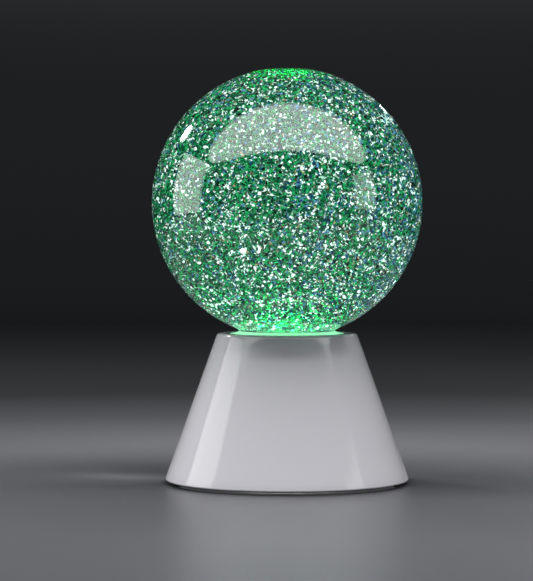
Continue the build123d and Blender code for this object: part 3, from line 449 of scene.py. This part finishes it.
def makeGlitter():
    random = np.random.default_rng(glitter["seed"])
    total = glitter["floating"]
    for name, pieces, share, sizes, bright, dull, roughness, paintedFoilGlow in glitter["colours"]:
        material = foil(name + "Foil", bright, dull, roughness, paintedFoilGlow)
        count = int(glitter["perPiece"] * share)
        for number in range(pieces):
            drift = glitter["drift"].get(name, 0.0)
            places = flakePlaces(random, count, name in glitter["carriedOut"], drift)
            makeFlakes(f"{name}{number + 1}", places, sizes, material, random)
            total += len(places)
    print("flakes of glitter:", total)
    # painted glow: the raft's flakes shine green by themselves, standing in for the green light seen under
    # the air pocket
    paintedGlowRaftFoil = foil("floatingGlitterPaintedGlowFoil", "#62F09A", "#0E9C4C", 0.3, 0.5)
    raft = floatingPlaces(random, glitter["floating"])
    makeFlakes("floatingGlitter", raft, (1.2, 2.2), paintedGlowRaftFoil, random)
    # painted highlight: the sequins glow white with no lamp on them, standing in for bright spots of
    # reflected light
    paintedHighlightFoil = foil("sequinPaintedHighlightFoil", "#FFFFFF", "#F4FAF7", 0.3, 1.3)
    for number, (place, size) in enumerate(glitter["sequins"]):
        centre = np.add([place], (0, 0, ballCentre))
        facing = glitter["sequinFacing"]
        makeFlakes(f"sequin{number + 1}", centre, (size, size), paintedHighlightFoil, random, facing)


bubbles = {
    "count": 240,
    "size": (0.5, 1.5),
    "roundSteps": 12,
}


def trappedAir():
    # air in the liquid: a tiny mirror at its rim and clear in the middle
    material, tree, _ = startMaterial("trappedAir")
    air = addNode(
        tree,
        "ShaderNodeBsdfPrincipled",
        inputs={
            "Base Color": linear("#FFFFFF"),
            "Roughness": 0.02,
            "IOR": 1 / liquid["ior"],
            "Transmission Weight": 1.0,
        },
    )
    return finishMaterial(material, tree, letLampsThrough(tree, air))


def makeBubbles():
    # each bubble is a turned half circle, moved to its place
    random = np.random.default_rng(glitter["seed"] + 1)
    centres = flakePlaces(random, bubbles["count"])
    sizes = random.uniform(*bubbles["size"], len(centres)) / 2
    half = arcPoints((0, 0), 1.0, -90, 90, bubbles["roundSteps"] // 2 + 1)
    half[[0, -1], 0] = 0.001
    grid, quads = latheGrid(half, bubbles["roundSteps"])
    unit = grid.reshape(-1, 3)
    points = centres[:, None] + sizes[:, None, None] * unit
    faces = np.arange(len(centres))[:, None, None] * len(unit) + quads.reshape(-1, 4)
    air = addPiece("airBubbles", points.reshape(-1, 3), faces.reshape(-1, 4))
    air.data.materials.append(trappedAir())


makeBubbles()
makeGlitter()
print("glitter made")

# ---- the base ----

base = {
    "outerRadius": 56.5,
    "topRadius": 32.25,
    "wallAcross": 2.34,
    "deckThickness": 2.5,
    "openingRadius": 26.5,
    "rimRound": 2.0,
    "footRound": 0.7,
    "lipRound": 0.6,
    "socketHole": (5.1, 2.2),
    "socketPatch": (7, 4.4),
    "roundSteps": 288,
    "colour": "#F0EEF5",
}
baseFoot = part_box("base_housing")[0].z / mm
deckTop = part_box("base_housing")[1].z / mm
coneSlope = (base["outerRadius"] - base["topRadius"]) / (deckTop - baseFoot)
socketLow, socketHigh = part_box("power_socket")
socketMiddle = (socketLow.z + socketHigh.z) / 2 / mm


def coneRadius(height):
    return base["outerRadius"] - (height - baseFoot) * coneSlope


def whiteAbs():
    # ABS moulded in a polished tool: bright white, glossy, with a faint orange peel and a few
    # spots a shade duller from handling
    material, tree, place = startMaterial("whiteAbs")
    peel = addNode(tree, "ShaderNodeTexNoise", inputs={"Vector": place, "Scale": 420.0, "Detail": 2.0})
    wear = addNode(tree, "ShaderNodeTexNoise", inputs={"Vector": place, "Scale": 26.0, "Detail": 6.0})
    gloss = addNode(
        tree,
        "ShaderNodeMapRange",
        inputs={"Value": wear.outputs["Fac"], 1: 0.3, 2: 0.75, 3: 0.07, 4: 0.12},
    )
    plastic = addNode(
        tree,
        "ShaderNodeBsdfPrincipled",
        inputs={
            "Base Color": linear(base["colour"]),
            "Roughness": gloss.outputs[0],
            "IOR": 1.53,
            "Normal": bumpFrom(tree, peel.outputs["Fac"], 0.12, 0.03),
        },
    )
    return finishMaterial(material, tree, plastic.outputs[0])


def stadium(count, halfWidth, halfHeight):
    # equal steps round a slot with round ends, from its right-hand side
    reach = halfWidth - halfHeight
    right = arcPoints((reach, 0), halfHeight, 0, 90, 30)
    left = arcPoints((-reach, 0), halfHeight, 90, 270, 60)
    close = arcPoints((reach, 0), halfHeight, 270, 360, 30)
    outline = np.vstack([right, left, close])
    length = np.append(0, np.cumsum(np.hypot(*np.diff(outline, axis=0).T)))
    steps = np.arange(count) / count * length[-1]
    return np.column_stack([np.interp(steps, length, outline[:, k]) for k in (0, 1)])


def makeHousing():
    columns, patchHalf = base["socketPatch"]
    rows = 6
    patchHeights = np.linspace(socketMiddle - patchHalf, socketMiddle + patchHalf, rows + 1)
    innerFoot = coneRadius(baseFoot) - base["wallAcross"]
    deckUnder = deckTop - base["deckThickness"]
    wall = lambda heights, inset: np.column_stack([coneRadius(heights) - inset, heights])
    foot = roundedPath(
        [(innerFoot, baseFoot), (coneRadius(baseFoot), baseFoot), tuple(wall(patchHeights[:1], 0)[0])],
        [base["footRound"]],
    )[:-1]
    rim = roundedPath(
        [
            tuple(wall(patchHeights[-1:], 0)[0]),
            (coneRadius(deckTop), deckTop),
            (base["openingRadius"], deckTop),
            (base["openingRadius"], deckUnder),
        ],
        [base["rimRound"], base["lipRound"]],
        steps=10,
    )[1:]
    middleHeights = np.linspace(patchHeights[-1], deckTop - 4, 12)[1:]
    insideTop = wall(np.array([deckUnder]), base["wallAcross"])
    insideHeights = wall(patchHeights, base["wallAcross"])[::-1]
    profile = np.vstack([foot, wall(patchHeights, 0), wall(middleHeights, 0), rim, insideTop, insideHeights])
    grid, quads = latheGrid(profile, base["roundSteps"], ring=True)
    outerRow = len(foot)
    innerRow = len(profile) - rows - 1
    # the cells round the socket are taken out of both walls
    quarter = base["roundSteps"] // 4
    kept = np.ones(quads.shape[:2], bool)
    for first in (outerRow, innerRow):
        kept[first : first + rows, quarter - columns : quarter + columns] = False
    # and filled by a patch whose loops go from the cells' edge to the slot's edge
    across = np.arange(-columns, columns + 1)
    middle = rows // 2
    edge = np.vstack(
        [
            np.column_stack([np.full(middle, columns), np.arange(middle, rows)]),
            np.column_stack([across[::-1], np.full(len(across), rows)])[:-1],
            np.column_stack([np.full(rows, -columns), np.arange(rows, 0, -1)]),
            np.column_stack([across, np.zeros(len(across))])[:-1],
            np.column_stack([np.full(middle, columns), np.arange(middle)]),
        ]
    )
    step = 2 * np.pi / base["roundSteps"]
    edgeTurn = edge[:, 0] * step
    edgeHeight = patchHeights[edge[:, 1].astype(int)]
    slot = stadium(len(edge), *base["socketHole"])
    slotHeight = socketMiddle + slot[:, 1]
    slotTurn = slot[:, 0] / coneRadius(slotHeight)
    share = np.linspace(0, 1, 7)[:, None] ** 0.8
    turn = edgeTurn + (slotTurn - edgeTurn) * share
    height = edgeHeight + (slotHeight - edgeHeight) * share
    loops = []
    for inset in (0.0, base["wallAcross"]):
        radius = coneRadius(height) - inset
        # a turn to the right on the drawing goes to -X, seen from behind, so it is taken from 90 degrees
        loops.append(np.stack([-radius * np.sin(turn), radius * np.cos(turn), height], axis=2))
    patch = np.vstack([loops[0], loops[1][::-1]])
    number = grid[..., 0].size + np.arange(patch[..., 0].size).reshape(patch.shape[:2])
    patchQuads = np.stack(
        [number[:-1], np.roll(number[:-1], -1, 1), np.roll(number[1:], -1, 1), number[1:]], axis=2
    )
    points = np.vstack([grid.reshape(-1, 3), patch.reshape(-1, 3)])
    faces = np.vstack([quads[kept], patchQuads.reshape(-1, 4)])
    postPoints, postFaces = housingPosts(len(points))
    housing = addPiece(
        "baseHousing", np.vstack([points, postPoints]), np.vstack([faces, postFaces]), creaseAngle=35
    )
    housing.data.materials.append(whiteAbs())
    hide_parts("base_housing")


posts = {
    # circle they stand on, their angles, radius, height of the lower end
    "clamp": (30.8, (30, 150, 270), 2.8, deckTop - 15.0),
    "bracket": (31.8, (90, 210, 330), 2.8, deckTop - 26.5),
    "plate": (44.6, (58, 122, 238, 302), 3.2, 3.2),
}
pilot = {"radius": 1.3, "depth": 8.0}


def housingPosts(firstNumber):
    # a post is a tube closed at its upper end, which follows the cone's inner wall: each point
    # of its last ring is as high as the wall stands over it
    allPoints, allFaces = [], []
    turn = 2 * np.pi * np.arange(32) / 32
    for circle, angles, radius, low in posts.values():
        for angle in np.radians(angles):
            profile = np.array(
                [
                    (0, low + pilot["depth"]),
                    (pilot["radius"], low + pilot["depth"]),
                    (pilot["radius"], low),
                    (radius, low),
                    (radius, low + 1),
                    (0, low + 1),
                ]
            )
            grid, quads = latheGrid(profile, len(turn))
            grid[..., :2] += circle * np.array([np.cos(angle), np.sin(angle)])
            reach = np.hypot(grid[4:, :, 0], grid[4:, :, 1])
            wallHeight = baseFoot + (base["outerRadius"] - base["wallAcross"] - reach) / coneSlope
            grid[4:, :, 2] = np.minimum(wallHeight + 1.5, deckTop - base["deckThickness"] + 0.6)
            allFaces.append(quads.reshape(-1, 4) + firstNumber + sum(len(p) for p in allPoints))
            allPoints.append(grid.reshape(-1, 3))
    return np.vstack(allPoints), np.vstack(allFaces)


makeHousing()

ring = {"colour": "#CFEFDC", "glow": "#97FFBC", "glowStrength": 0.8, "roundSteps": 192}


def frostedAcrylic():
    # acrylic with a blasted skin over the green lights: it glows all through, a little unevenly
    material, tree, place = startMaterial("frostedAcrylic")
    grain = addNode(tree, "ShaderNodeTexNoise", inputs={"Vector": place, "Scale": 900.0, "Detail": 2.0})
    plastic = addNode(
        tree,
        "ShaderNodeBsdfPrincipled",
        inputs={
            "Base Color": linear(ring["colour"]),
            "Roughness": 0.42,
            "IOR": 1.49,
            "Emission Color": linear(ring["glow"]),
            "Emission Strength": ring["glowStrength"],
            "Normal": bumpFrom(tree, grain.outputs["Fac"], 0.3, 0.03),
        },
    )
    return finishMaterial(material, tree, plastic.outputs[0])


def makeLightRing():
    low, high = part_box("light_ring")
    outer = high.x / mm
    bore = ball["neckRadius"] + 0.25
    shoulder = deckTop - base["deckThickness"]
    outside = base["openingRadius"] - 0.3
    foot = low.z / mm
    crown = high.z / mm
    # the top sweeps up from the opening to the neck in a hollow curve
    across = np.linspace(0, 1, 14)
    sweepTop = np.column_stack(
        [outside + (bore - outside) * across, deckTop - 0.3 + (crown - deckTop + 0.3) * across**2]
    )
    profile = np.vstack(
        [
            roundedPath(
                [
                    (bore, foot),
                    (ball["lipRadius"], foot),
                    (ball["lipRadius"] + 1, shoulder - 2.5),
                    (outer, shoulder - 2.5),
                    (outer, shoulder),
                    (outside, shoulder),
                    (outside, deckTop - 0.3),
                ],
                [0.3, 0.2, 0.4, 0.4, 0.1],
            )[:-1],
            sweepTop,
        ]
    )
    glow = lathe("lightRing", profile, ring["roundSteps"], ring=True)
    glow.data.materials.append(frostedAcrylic())
    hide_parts("light_ring")


makeLightRing()
print("base made")

# ---- finishes of the CAD pieces ----


def mottled(
    name, light, dark, roughness, metallic=0.0, ior=1.5, spotMm=6.0, grainMm=0.4,
    grainDepthMm=0.02, lines=None
):
    # a finish whose tint and gloss drift over spots of one size, with a grain of another; lines
    # adds straight ridges across an axis at a pitch in millimetres
    material, tree, place = startMaterial(name)
    spots = addNode(
        tree, "ShaderNodeTexNoise", inputs={"Vector": place, "Scale": 1000 / spotMm, "Detail": 5.0}
    )
    grain = addNode(
        tree, "ShaderNodeTexNoise", inputs={"Vector": place, "Scale": 1000 / grainMm, "Detail": 2.0}
    )
    tintShare = addNode(tree, "ShaderNodeMapRange", inputs={"Value": spots.outputs["Fac"], 1: 0.3, 2: 0.7})
    gloss = addNode(
        tree,
        "ShaderNodeMapRange",
        inputs={"Value": spots.outputs["Fac"], 1: 0.3, 2: 0.7, 3: roughness[0], 4: roughness[1]},
    )
    tint = addNode(
        tree,
        "ShaderNodeMix",
        {"data_type": "RGBA"},
        {0: tintShare.outputs[0], 6: linear(light), 7: linear(dark)},
    )
    height = grain.outputs["Fac"]
    if lines:
        axis, pitch = lines
        ridges = addNode(
            tree,
            "ShaderNodeTexWave",
            {"bands_direction": axis},
            {"Vector": place, "Scale": 2 * np.pi / (20 * pitch * mm)},
        )
        height = addNode(
            tree, "ShaderNodeMath", {"operation": "ADD"}, {0: height, 1: ridges.outputs["Fac"]}
        ).outputs[0]
    surface = addNode(
        tree,
        "ShaderNodeBsdfPrincipled",
        inputs={
            "Base Color": tint.outputs[2],
            "Metallic": metallic,
            "Roughness": gloss.outputs[0],
            "IOR": ior,
            "Normal": bumpFrom(tree, height, 0.5, grainDepthMm),
        },
    )
    return material, tree, surface


def plain(*values, **options):
    material, tree, surface = mottled(*values, **options)
    return finishMaterial(material, tree, surface.outputs[0])


def blackAbs():
    # black ABS from a spark-eroded tool: matt, with a fine even grain
    return plain("blackAbs", "#29292B", "#1F1F21", (0.44, 0.58), ior=1.53, grainMm=0.35, grainDepthMm=0.05)


def acetal():
    # acetal turned from bar: waxy off-white, with a satin tool finish
    return plain("acetal", "#EDEDE8", "#E2E2DA", (0.28, 0.4), ior=1.48, grainMm=0.25, grainDepthMm=0.01)


def polycarbonate():
    # polycarbonate moulded clear: water-clear and glossy, with a faint cool tint
    material, tree, surface = mottled(
        "polycarbonate", "#F4FAFA", "#E6F2F0", (0.03, 0.08), ior=1.585, grainMm=1.2, grainDepthMm=0.004
    )
    surface.inputs["Transmission Weight"].default_value = 0.9
    return finishMaterial(material, tree, surface.outputs[0])


def silicone():
    # silicone moulded translucent: milky, soft, dull where dust clings
    material, tree, surface = mottled(
        "silicone", "#D6D6D0", "#C4C4BC", (0.4, 0.6), ior=1.41, grainMm=0.5, grainDepthMm=0.02
    )
    surface.inputs["Transmission Weight"].default_value = 0.35
    return finishMaterial(material, tree, surface.outputs[0])


def blackRubber():
    # rubber cut from sheet: dead black with a pitted skin that greys with dust
    return plain("blackRubber", "#232324", "#151516", (0.7, 0.88), ior=1.52, grainMm=0.5, grainDepthMm=0.09)


def groundStainless():
    # stainless rod ground between wheels: bright, with fine rings round it
    return plain(
        "groundStainless", "#C9C7C3", "#B4B2AE", (0.2, 0.32), metallic=1.0, grainMm=0.3,
        grainDepthMm=0.006, lines=("Z", 0.25),
    )


def zincPlate():
    # bright zinc plate with a blue passivation: silvery, a little cloudy and bluish
    return plain(
        "zincPlate", "#C2C6CE", "#A6AAB4", (0.22, 0.38), metallic=1.0, spotMm=1.6, grainMm=0.2,
        grainDepthMm=0.008,
    )


def nickelPlate():
    # nickel plated bright over magnet or steel: warm white mirror with soft clouds
    return plain(
        "nickelPlate", "#D3CEC4", "#BDB7AC", (0.12, 0.24), metallic=1.0, spotMm=2.5, grainMm=0.3,
        grainDepthMm=0.004,
    )


def ferrite():
    # ferrite pressed and sintered: charcoal, matt, with a sandy skin
    return plain(
        "ferrite", "#4A4A4C", "#38383A", (0.6, 0.78), ior=1.6, spotMm=2.0, grainMm=0.25,
        grainDepthMm=0.03,
    )


def laminations():
    # electrical steel stamped and stacked: grey sheets half a millimetre thick
    return plain(
        "laminations", "#9B9DA3", "#7C7E85", (0.35, 0.5), metallic=1.0, spotMm=2.0, grainMm=0.2,
        grainDepthMm=0.03, lines=("Z", 0.5),
    )


def enamelledCopper():
    # enamelled copper wire wound in layers: orange-brown, glossy, ribbed by the turns
    return plain(
        "enamelledCopper", "#C8713C", "#9E4F24", (0.2, 0.34), metallic=0.85, spotMm=1.5, grainMm=0.2,
        grainDepthMm=0.08, lines=("Z", 0.35),
    )


def sinteredBronze():
    # bronze powder pressed and sintered, full of oil: brown-gold and finely porous
    return plain(
        "sinteredBronze", "#B08C52", "#8C6B3A", (0.35, 0.5), metallic=0.9, spotMm=0.8, grainMm=0.12,
        grainDepthMm=0.03,
    )


def solderMask():
    # glass-epoxy board under green solder mask: glossy, with the weave just showing
    return plain(
        "solderMask", "#12572F", "#0C4424", (0.25, 0.4), ior=1.55, spotMm=3.0, grainMm=0.5,
        grainDepthMm=0.015, lines=("DIAGONAL", 0.9),
    )


def lightPackage():
    # white moulded diode package with a silicone face, lit green from within
    material, tree, surface = mottled(
        "lightPackage", "#F2F4EA", "#E4E8D8", (0.25, 0.4), ior=1.5, spotMm=1.5, grainMm=0.3, grainDepthMm=0.01
    )
    surface.inputs["Emission Color"].default_value = linear("#3CFF7C")
    surface.inputs["Emission Strength"].default_value = 1.2
    return finishMaterial(material, tree, surface.outputs[0])


def foilJacket():
    # plain blue foil jacket shrunk on a steel can: metallic, satin, faintly streaked along the can
    return plain(
        "foilJacket", "#2C3F86", "#22326C", (0.24, 0.36), metallic=0.8, spotMm=5.0, grainMm=0.4,
        grainDepthMm=0.01, lines=("Y", 0.8),
    )


def blackEpoxy():
    # moulded epoxy: dark grey, matt, with a fine blasted skin
    return plain(
        "blackEpoxy", "#2A2A2C", "#202022", (0.5, 0.64), ior=1.55, spotMm=2.0, grainMm=0.15,
        grainDepthMm=0.02,
    )


def blackPvc():
    # extruded PVC insulation: black, satin, drawn out along the wire
    return plain(
        "blackPvc", "#1C1C1D", "#131314", (0.32, 0.46), ior=1.53, spotMm=3.0, grainMm=0.6,
        grainDepthMm=0.015,
    )


def redPvc():
    # the same insulation dyed red
    return plain(
        "redPvc", "#B4231C", "#97180F", (0.32, 0.46), ior=1.53, spotMm=3.0, grainMm=0.6,
        grainDepthMm=0.015,
    )


finishOfSlot = {
    "black_abs": blackAbs,
    "white_acetal": acetal,
    "clear_polycarbonate": polycarbonate,
    "silicone_seal": silicone,
    "black_rubber": blackRubber,
    "stainless_steel": groundStainless,
    "zinc_steel": zincPlate,
    "nickel_plate": nickelPlate,
    "ferrite": ferrite,
    "silicon_steel": laminations,
    "enamelled_copper": enamelledCopper,
    "sintered_bronze": sinteredBronze,
    "circuit_board": solderMask,
    "light_package": lightPackage,
    "cell_jacket": foilJacket,
    "black_epoxy": blackEpoxy,
    "black_pvc": blackPvc,
    "red_pvc": redPvc,
}


def finishNodes():
    finished = {}
    for part in frame["record"]["subparts"]:
        slot = part["material_slot"]
        if slot not in finishOfSlot:
            continue
        if slot not in finished:
            finished[slot] = finishOfSlot[slot]()
        mesh = nodes[part["node"]].data
        mesh.materials.clear()
        mesh.materials.append(finished[slot])
    print("CAD pieces finished:", len(finished), "finishes")


finishNodes()

# ---- lamps of the object ----

glow = {
    # name, colour, power, radius, height
    "stirrerGlow": ("#70FFA4", 0.26, 14.0, 77.0),
    "surfaceGlow": ("#4DFF86", 0.16, 8.0, 178.0),
}


def makeGlow():
    for name, (colour, power, radius, height) in glow.items():
        lamp = bpy.data.lights.new(name, "AREA")
        lamp.shape = "DISK"
        lamp.size = 2 * radius * mm
        lamp.energy = power
        lamp.color = linear(colour)[:3]
        lampObject = bpy.data.objects.new(name, lamp)
        lampObject.location = (0, 0, height * mm)
        lampObject.rotation_euler = (np.pi, 0, 0)
        lampObject.visible_camera = False
        lampObject.visible_transmission = False
        bpy.context.scene.collection.objects.link(lampObject)


makeGlow()

# ---- studio ----

studio = {
    "floorColour": "#7C7C81",
    "wallColour": "#444648",
    "radius": 2.6,
    "height": 2.2,
    # how far the wall's foot curves up, and where the flat round the base ends
    "turnUp": 0.6,
    "flat": 0.4,
    # the well under the base: radius, depth
    "hole": (0.0535, 0.004),
    # shades: inner and outer radius, height, and how far round from the front in degrees
    "shades": [(0.0630, 0.0820, 0.1170, 180), (0.0330, 0.0470, 0.0725, 55)],
    "shadeSteps": 96,
    "softBoxes": [
        # name, shape, centre, aims at, width, height, power
        ("overhead", "ELLIPSE", (0.0, -0.43, 1.13), (0.0, 0.0, 0.12), 3.7, 0.95, 25.0),
        ("leftPanel", "RECTANGLE", (-1.05, 0.05, 0.32), (0.0, 0.0, 0.12), 0.62, 0.62, 3.0),
        ("rightPanel", "RECTANGLE", (1.05, -0.42, 0.28), (0.0, 0.0, 0.12), 0.4, 0.5, 1.0),
        ("leftSpark", "DISK", (-0.81, 0.67, 0.70), (0.0, 0.0, 0.12), 0.16, 0.16, 1.8),
        ("rightSpark", "DISK", (0.33, 1.10, 0.47), (0.0, 0.0, 0.12), 0.035, 0.035, 0.2),
        ("underside", "DISK", (0.0, 0.0, -0.7), (0.0, 0.0, 0.0), 0.5, 0.5, 6.0),
    ],
}


def studioCove():
    # a round floor that turns up into a wall; from below it lets the view through, and a well that
    # the base covers lets the lamp under the floor reach the underside; the well's inside is painted
    # shade, near-black, so the gap under the base looks dark
    material, tree, place = startMaterial("studioPaper")
    parts = addNode(tree, "ShaderNodeSeparateXYZ", inputs={"Vector": place})
    reach = addNode(tree, "ShaderNodeVectorMath", {"operation": "LENGTH"}, {0: place})
    blend = addNode(
        tree, "ShaderNodeMapRange", inputs={"Value": reach.outputs["Value"], 1: 0.2, 2: 0.62, 3: 0.0, 4: 1.0}
    )
    colour = addNode(
        tree,
        "ShaderNodeMix",
        {"data_type": "RGBA"},
        {0: blend.outputs[0], 6: linear(studio["floorColour"]), 7: linear(studio["wallColour"])},
    )
    # painted shade: below the floor's level the well is lined near-black, so the gap under the base reads as
    # shadow
    paintedShadeInWell = addNode(
        tree,
        "ShaderNodeMapRange",
        inputs={"Value": parts.outputs["Z"], 1: -0.0004, 2: -0.0001, 3: 1.0, 4: 0.0},
    )
    floorWithPaintedWellShade = addNode(
        tree,
        "ShaderNodeMix",
        {"data_type": "RGBA"},
        {0: paintedShadeInWell.outputs[0], 6: colour.outputs[2], 7: linear("#050505")},
    )
    paper = addNode(
        tree,
        "ShaderNodeBsdfPrincipled",
        inputs={"Base Color": floorWithPaintedWellShade.outputs[2], "Roughness": 0.38, "IOR": 1.4},
    )
    behind = addNode(tree, "ShaderNodeNewGeometry").outputs["Backfacing"]
    clear = addNode(tree, "ShaderNodeBsdfTransparent")
    mixed = addNode(
        tree, "ShaderNodeMixShader", inputs={0: behind, 1: paper.outputs[0], 2: clear.outputs[0]}
    )
    return finishMaterial(material, tree, mixed.outputs[0])


def makeShade(number, inner, outer, height, reach):
    # a card that only lamps see; it keeps the soft boxes' light off the rim of the base, where
    # a real ball full of foil throws a deeper shadow
    steps = studio["shadeSteps"]
    turn = np.radians(np.linspace(-90 - reach, -90 + reach, steps + 1))
    arc = np.column_stack([np.cos(turn), np.sin(turn)])
    level = np.full((steps + 1, 1), height)
    rings = [np.hstack([arc * radius, level]) for radius in (inner, outer)]
    k = np.arange(steps)
    quads = np.stack([k, k + 1, k + steps + 2, k + steps + 1], axis=1)
    mesh = bpy.data.meshes.new(f"lampShade{number}")
    mesh.from_pydata(np.vstack(rings).tolist(), [], quads.tolist())
    shade = bpy.data.objects.new(f"lampShade{number}", mesh)
    shade.visible_camera = False
    shade.visible_diffuse = False
    shade.visible_glossy = False
    shade.visible_transmission = False
    bpy.context.scene.collection.objects.link(shade)


def makeStudio():
    radius, height = studio["radius"] / mm, studio["height"] / mm
    turnUp, flat = studio["turnUp"] / mm, studio["flat"] / mm
    wellRadius, wellDepth = np.array(studio["hole"]) / mm
    profile = np.vstack(
        [
            [(radius, height)],
            arcPoints((radius - turnUp, turnUp), turnUp, 0, -90, 24),
            [(flat, 0), (wellRadius, 0), (wellRadius, -0.5), (wellRadius, -wellDepth)],
        ]
    )
    grid, quads = latheGrid(profile, 128)
    mesh = bpy.data.meshes.new("studioCove")
    mesh.from_pydata((grid.reshape(-1, 3) * mm).tolist(), [], quads.reshape(-1, 4).tolist())
    work = bmesh.new()
    work.from_mesh(mesh)
    bmesh.ops.remove_doubles(work, verts=work.verts, dist=1e-6)
    work.to_mesh(mesh)
    work.free()
    mesh.shade_smooth()
    mesh.materials.append(studioCove())
    cove = bpy.data.objects.new("studioCove", mesh)
    bpy.context.scene.collection.objects.link(cove)
    for number, card in enumerate(studio["shades"]):
        makeShade(number + 1, *card)
    for name, shape, centre, aim, width, tall, power in studio["softBoxes"]:
        lamp = bpy.data.lights.new(name, "AREA")
        lamp.shape = shape
        lamp.size, lamp.size_y = width, tall
        lamp.energy = power
        lampObject = bpy.data.objects.new(name, lamp)
        lampObject.location = centre
        lampObject.rotation_euler = (Vector(aim) - Vector(centre)).to_track_quat("-Z", "Y").to_euler()
        lampObject.visible_camera = False
        bpy.context.scene.collection.objects.link(lampObject)
    world = bpy.data.worlds.new("studioAir")
    world.use_nodes = True
    world.node_tree.nodes["Background"].inputs["Color"].default_value = (0.05, 0.052, 0.055, 1)
    bpy.context.scene.world = world


makeStudio()

# ---- camera ----

camera = {"distance": 1040.0, "height": 112.3, "aimLeft": -9.5, "aimHeight": 88.9, "lens": 139.4}


def makeCamera():
    seen = bpy.data.cameras.new("camera")
    seen.lens = camera["lens"]
    seen.sensor_width = 36.0
    seen.clip_start, seen.clip_end = 0.01, 20
    stand = bpy.data.objects.new("camera", seen)
    stand.location = Vector((0, -camera["distance"], camera["height"])) * mm
    aim = Vector((camera["aimLeft"], 0, camera["aimHeight"])) * mm
    stand.rotation_euler = (aim - stand.location).to_track_quat("-Z", "Y").to_euler()
    bpy.context.scene.collection.objects.link(stand)
    bpy.context.scene.camera = stand
    bpy.context.scene.view_settings.view_transform = "Standard"


makeCamera()
print("studio and camera made")
